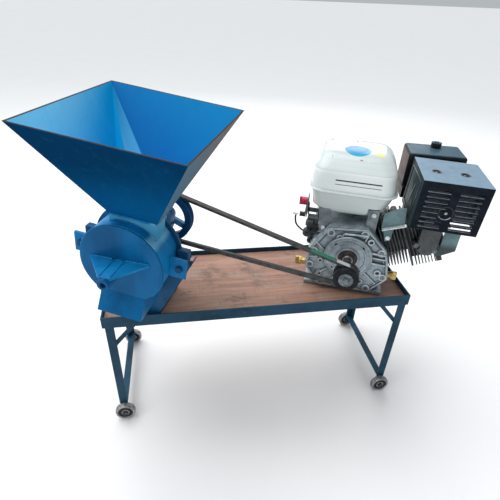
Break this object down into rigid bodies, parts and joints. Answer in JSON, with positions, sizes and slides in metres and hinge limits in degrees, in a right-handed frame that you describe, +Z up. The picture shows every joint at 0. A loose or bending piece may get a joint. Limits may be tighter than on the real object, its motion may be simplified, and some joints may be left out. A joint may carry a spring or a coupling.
{
  "type": "hammer mill",
  "caption": "Hammer mill with a square feed hopper on a round grinding drum, belt-driven by a petrol engine, both on a wheeled angle-iron bench with a wooden top.",
  "frame": {"origin": "middle of the overall footprint, on the floor under the wheels", "axes": "+X along the bench towards the engine, +Y to the back of the bench, +Z up; the mill and engine are turned together 22.7 degrees clockwise seen from above"},
  "size_m": [0.9176, 0.52, 0.8169],
  "materials": {
    "mill_blue": "gloss",
    "frame_paint": "satin",
    "plywood": "matt",
    "wheel_steel": "satin",
    "bright_steel": "satin",
    "pulley_paint": "gloss",
    "black_iron": "satin",
    "belt_rubber": "matt",
    "cast_aluminium": "cast",
    "finned_casting": "cast",
    "cast_flywheel": "cast",
    "black_cover": "satin",
    "exhaust_steel": "matt",
    "shroud_paint": "satin",
    "tank_paint": "gloss",
    "black_plastic": "satin",
    "red_plastic": "gloss",
    "yellow_plastic": "gloss",
    "carburettor_zinc": "cast"
  },
  "bodies": {
    "bench": {"air_cleaner": "black_plastic", "back_plate": "mill_blue", "ball_bearings": "bright_steel", "bearing_housing": "mill_blue", "bearing_tube": "mill_blue", "carburettor": "carburettor_zinc", "crankcase": "cast_aluminium", "crossbars": "frame_paint", "cylinder": "finned_casting", "cylinder_head": "finned_casting", "cylinder_shroud": "shroud_paint", "deck_board": "plywood", "discharge_chute": "mill_blue", "drum_shell": "mill_blue", "engine_bolts": "bright_steel", "fan_cover": "black_cover", "front_disc": "mill_blue", "fuel_tank": "tank_paint", "hopper_back_plate": "mill_blue", "hopper_corner_plate": "mill_blue", "hopper_front_plate": "mill_blue", "hopper_left_plate": "mill_blue", "hopper_right_plate": "mill_blue", "hopper_throat": "mill_blue", "hub_gusset": "mill_blue", "leg_braces": "frame_paint", "legs": "frame_paint", "mill_bolts": "bright_steel", "mill_stand": "mill_blue", "muffler": "exhaust_steel", "muffler_guard": "black_cover", "oil_plugs": "yellow_plastic", "recoil_cover": "black_cover", "rim_rails": "frame_paint", "screen": "bright_steel", "side_cover": "cast_aluminium", "spark_plug": "black_plastic", "v_belt": "belt_rubber", "wheel_axles": "bright_steel"},
    "rotor": {"rotor_shaft": "bright_steel", "rotor_discs": "bright_steel", "hammer_pins": "bright_steel", "mill_pulley": "pulley_paint"},
    "crank": {"crankshaft": "bright_steel", "flywheel": "cast_flywheel", "engine_pulley": "black_iron", "pulley_bolt": "bright_steel"},
    "throttle": {"throttle_lever": "black_plastic"},
    "choke": {"choke_lever": "black_plastic"},
    "switch": {"engine_switch": "red_plastic"},
    "grip": {"starter_grip": "black_plastic"},
    "cap": {"fuel_cap": "black_plastic"},
    "hammers_a": {"hammers_a": "bright_steel"},
    "hammers_b": {"hammers_b": "bright_steel"},
    "hammers_c": {"hammers_c": "bright_steel"},
    "hammers_d": {"hammers_d": "bright_steel"},
    "wheel_front_left": {"wheel_front_left": "wheel_steel"},
    "wheel_rear_left": {"wheel_rear_left": "wheel_steel"},
    "wheel_front_right": {"wheel_front_right": "wheel_steel"},
    "wheel_rear_right": {"wheel_rear_right": "wheel_steel"}
  },
  "joints": [
    {"name": "crank_spin", "type": "hinge", "parent": "bench", "child": "crank", "pos_m": [0.13573, -0.05879, 0.435], "axis": [0.3862, 0.9224, 0], "continuous": true},
    {"name": "rotor_spin", "type": "hinge", "parent": "bench", "child": "rotor", "pos_m": [-0.26219, 0.10783, 0.522], "axis": [0.3862, 0.9224, 0], "continuous": true},
    {"name": "hammer_swing_a", "type": "hinge", "parent": "rotor", "child": "hammers_a", "pos_m": [-0.30577, -0.06582, 0.54887], "axis": [0.3862, 0.9224, 0], "range_deg": [-273, 3]},
    {"name": "hammer_swing_b", "type": "hinge", "parent": "rotor", "child": "hammers_b", "pos_m": [-0.30577, -0.06582, 0.49513], "axis": [0.3862, 0.9224, 0], "range_deg": [-183, 93]},
    {"name": "hammer_swing_c", "type": "hinge", "parent": "rotor", "child": "hammers_c", "pos_m": [-0.35534, -0.04506, 0.49513], "axis": [0.3862, 0.9224, 0], "range_deg": [-93, 183]},
    {"name": "hammer_swing_d", "type": "hinge", "parent": "rotor", "child": "hammers_d", "pos_m": [-0.35534, -0.04506, 0.54887], "axis": [0.3862, 0.9224, 0], "range_deg": [-3, 273]},
    {"name": "wheel_spin_front_left", "type": "hinge", "parent": "bench", "child": "wheel_front_left", "pos_m": [-0.39937, -0.04483, 0.025], "axis": [0, 1, 0], "continuous": true},
    {"name": "wheel_spin_rear_left", "type": "hinge", "parent": "bench", "child": "wheel_rear_left", "pos_m": [-0.39937, 0.23117, 0.025], "axis": [0, 1, 0], "continuous": true},
    {"name": "wheel_spin_front_right", "type": "hinge", "parent": "bench", "child": "wheel_front_right", "pos_m": [0.31263, -0.04483, 0.025], "axis": [0, 1, 0], "continuous": true},
    {"name": "wheel_spin_rear_right", "type": "hinge", "parent": "bench", "child": "wheel_rear_right", "pos_m": [0.31263, 0.23117, 0.025], "axis": [0, 1, 0], "continuous": true},
    {"name": "throttle_turn", "type": "hinge", "parent": "bench", "child": "throttle", "pos_m": [0.09119, 0.14036, 0.507], "axis": [0.9224, -0.3862, 0], "range_deg": [0, 35]},
    {"name": "choke_turn", "type": "hinge", "parent": "bench", "child": "choke", "pos_m": [0.35645, 0.11104, 0.531], "axis": [0.3862, 0.9224, 0], "range_deg": [0, 60]},
    {"name": "switch_turn", "type": "hinge", "parent": "bench", "child": "switch", "pos_m": [0.08811, 0.13298, 0.531], "axis": [0.9224, -0.3862, 0], "range_deg": [0, 50]},
    {"name": "starter_pull", "type": "slide", "parent": "bench", "child": "grip", "axis": [0.9224, -0.3862, 0], "range_m": [0, 0.45]},
    {"name": "fuel_cap_turn", "type": "hinge", "parent": "bench", "child": "cap", "pos_m": [0.17709, 0.16944, 0.659], "axis": [0, 0, 1], "range_deg": [0, 90]}
  ],
  "couplings": [
    {"joint": "rotor_spin", "follows": "crank_spin", "ratio": 0.4127}
  ]
}
